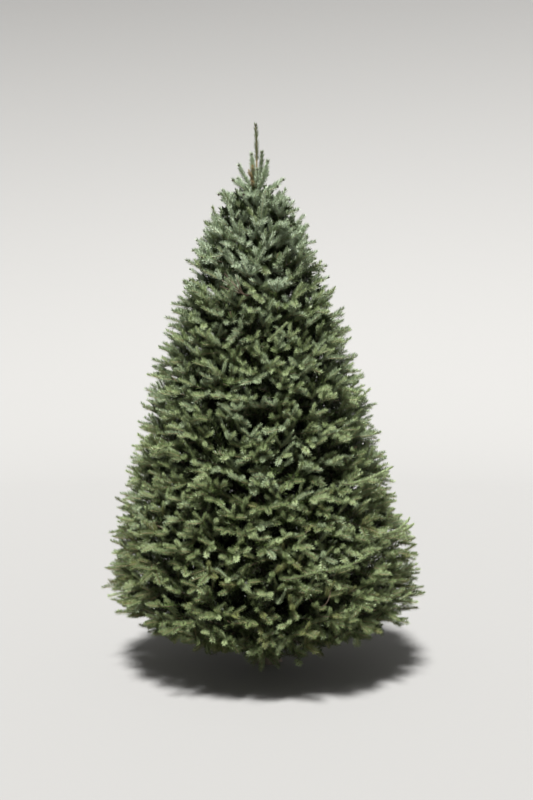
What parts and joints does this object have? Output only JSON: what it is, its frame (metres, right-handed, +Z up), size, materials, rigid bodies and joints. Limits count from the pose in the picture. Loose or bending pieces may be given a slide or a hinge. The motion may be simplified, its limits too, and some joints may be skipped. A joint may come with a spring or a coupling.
{
  "type": "fir christmas tree",
  "caption": "Sheared young fir grown as a Christmas tree: a straight tapering trunk with whorled boughs, a dense cone of needle sprays and a bare upright leader.",
  "frame": {"origin": "middle of the trunk's flat cut at ground level", "axes": "+Z straight up the trunk; the side that the picture shows faces -Y, with +X to its right"},
  "size_m": [1.4613, 1.4614, 2.44],
  "materials": {
    "trunk_bark": "thin grey-brown fir bark, matt",
    "bough_bark": "young tan-brown bark, matt",
    "fir_needles": "waxy blue-green needles, satin"
  },
  "bodies": {
    "root": {"trunk": "trunk_bark", "bough_1_1": "bough_bark", "foliage_1_1": "fir_needles", "bough_1_2": "bough_bark", "foliage_1_2": "fir_needles", "bough_1_3": "bough_bark", "foliage_1_3": "fir_needles", "bough_1_4": "bough_bark", "foliage_1_4": "fir_needles", "bough_1_5": "bough_bark", "foliage_1_5": "fir_needles", "bough_1_6": "bough_bark", "foliage_1_6": "fir_needles", "bough_2_1": "bough_bark", "foliage_2_1": "fir_needles", "bough_2_2": "bough_bark", "foliage_2_2": "fir_needles", "bough_2_3": "bough_bark", "foliage_2_3": "fir_needles", "bough_2_4": "bough_bark", "foliage_2_4": "fir_needles", "bough_2_5": "bough_bark", "foliage_2_5": "fir_needles", "bough_2_6": "bough_bark", "foliage_2_6": "fir_needles", "bough_3_1": "bough_bark", "foliage_3_1": "fir_needles", "bough_3_2": "bough_bark", "foliage_3_2": "fir_needles", "bough_3_3": "bough_bark", "foliage_3_3": "fir_needles", "bough_3_4": "bough_bark", "foliage_3_4": "fir_needles", "bough_3_5": "bough_bark", "foliage_3_5": "fir_needles", "bough_4_1": "bough_bark", "foliage_4_1": "fir_needles", "bough_4_2": "bough_bark", "foliage_4_2": "fir_needles", "bough_4_3": "bough_bark", "foliage_4_3": "fir_needles", "bough_4_4": "bough_bark", "foliage_4_4": "fir_needles", "bough_4_5": "bough_bark", "foliage_4_5": "fir_needles", "foliage_5_1": "fir_needles", "foliage_5_2": "fir_needles", "foliage_5_3": "fir_needles", "foliage_5_4": "fir_needles", "foliage_6_1": "fir_needles", "foliage_6_2": "fir_needles", "foliage_6_3": "fir_needles", "foliage_6_4": "fir_needles", "foliage_7_1": "fir_needles", "foliage_7_2": "fir_needles", "foliage_7_3": "fir_needles", "foliage_7_4": "fir_needles", "foliage_leader": "fir_needles", "foliage_foot": "fir_needles"}
  },
  "joints": []
}
